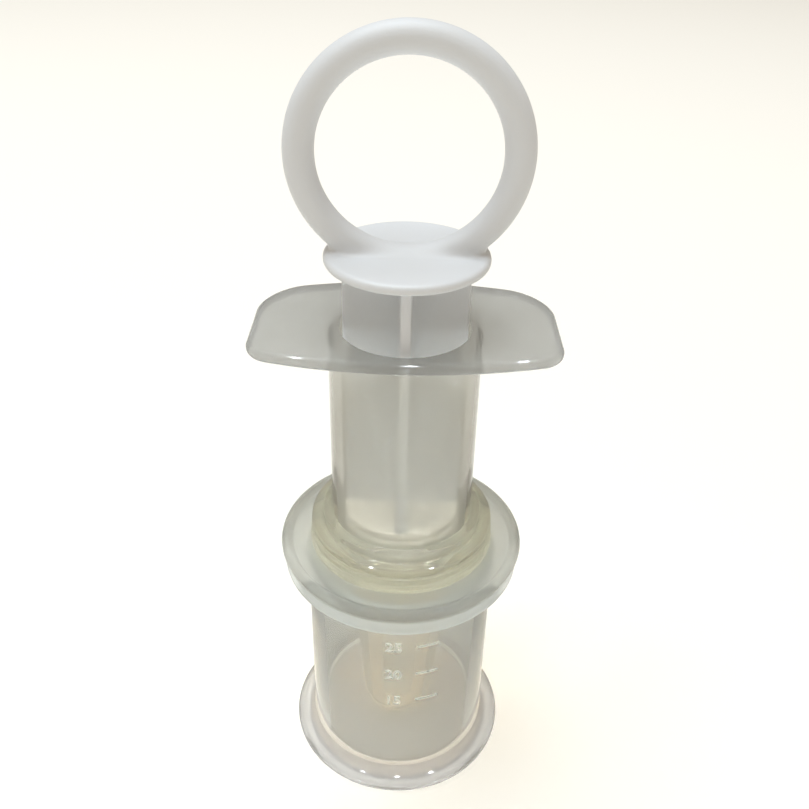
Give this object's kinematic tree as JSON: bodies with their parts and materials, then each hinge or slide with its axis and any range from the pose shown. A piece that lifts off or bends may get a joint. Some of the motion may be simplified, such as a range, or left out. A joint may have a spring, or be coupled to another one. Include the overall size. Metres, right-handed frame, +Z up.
{
  "type": "oral medicine dispenser",
  "caption": "Ring-handled plunger dispenser for liquid medicine: a barrel with a finger flange, seated in a silicone nipple and shield, standing nose-down in its own clear measuring cup.",
  "frame": {"origin": "middle of the cup foot's underside, on the surface that the dispenser stands on", "axes": "+Z up the barrel's axis towards the thumb ring, +X along the finger flange and the thumb ring, -Y towards the flange's shallow side and the cup's marks"},
  "size_m": [0.0474, 0.0424, 0.1322],
  "materials": {
    "clear_plastic": "clear, slightly hazy, glossy",
    "milky_plastic": "milky, see-through, semi-gloss",
    "clear_silicone": "clear silicone with a warm tint, wet-looking gloss",
    "seal_silicone": "pale silicone, satin",
    "white_plastic": "opaque white, satin moulded"
  },
  "bodies": {
    "cup": {"measuring_cup": "clear_plastic"},
    "teat": {"shield": "milky_plastic", "nipple": "clear_silicone"},
    "barrel": {"barrel": "milky_plastic"},
    "piston": {"piston_seal": "seal_silicone"},
    "plunger": {"plunger": "white_plastic"}
  },
  "joints": [
    {"name": "teat_lift", "type": "slide", "parent": "cup", "child": "teat", "axis": [0, 0, 1], "range_m": [0, 0.05]},
    {"name": "barrel_pull", "type": "slide", "parent": "teat", "child": "barrel", "axis": [0, 0, 1], "range_m": [0, 0.05]},
    {"name": "piston_stroke", "type": "slide", "parent": "barrel", "child": "piston", "axis": [0, 0, 1], "range_m": [0, 0.0306]},
    {"name": "plunger_swivel", "type": "hinge", "parent": "piston", "child": "plunger", "pos_m": [0, 0, 0.0525], "axis": [0, 0, 1], "continuous": true}
  ]
}
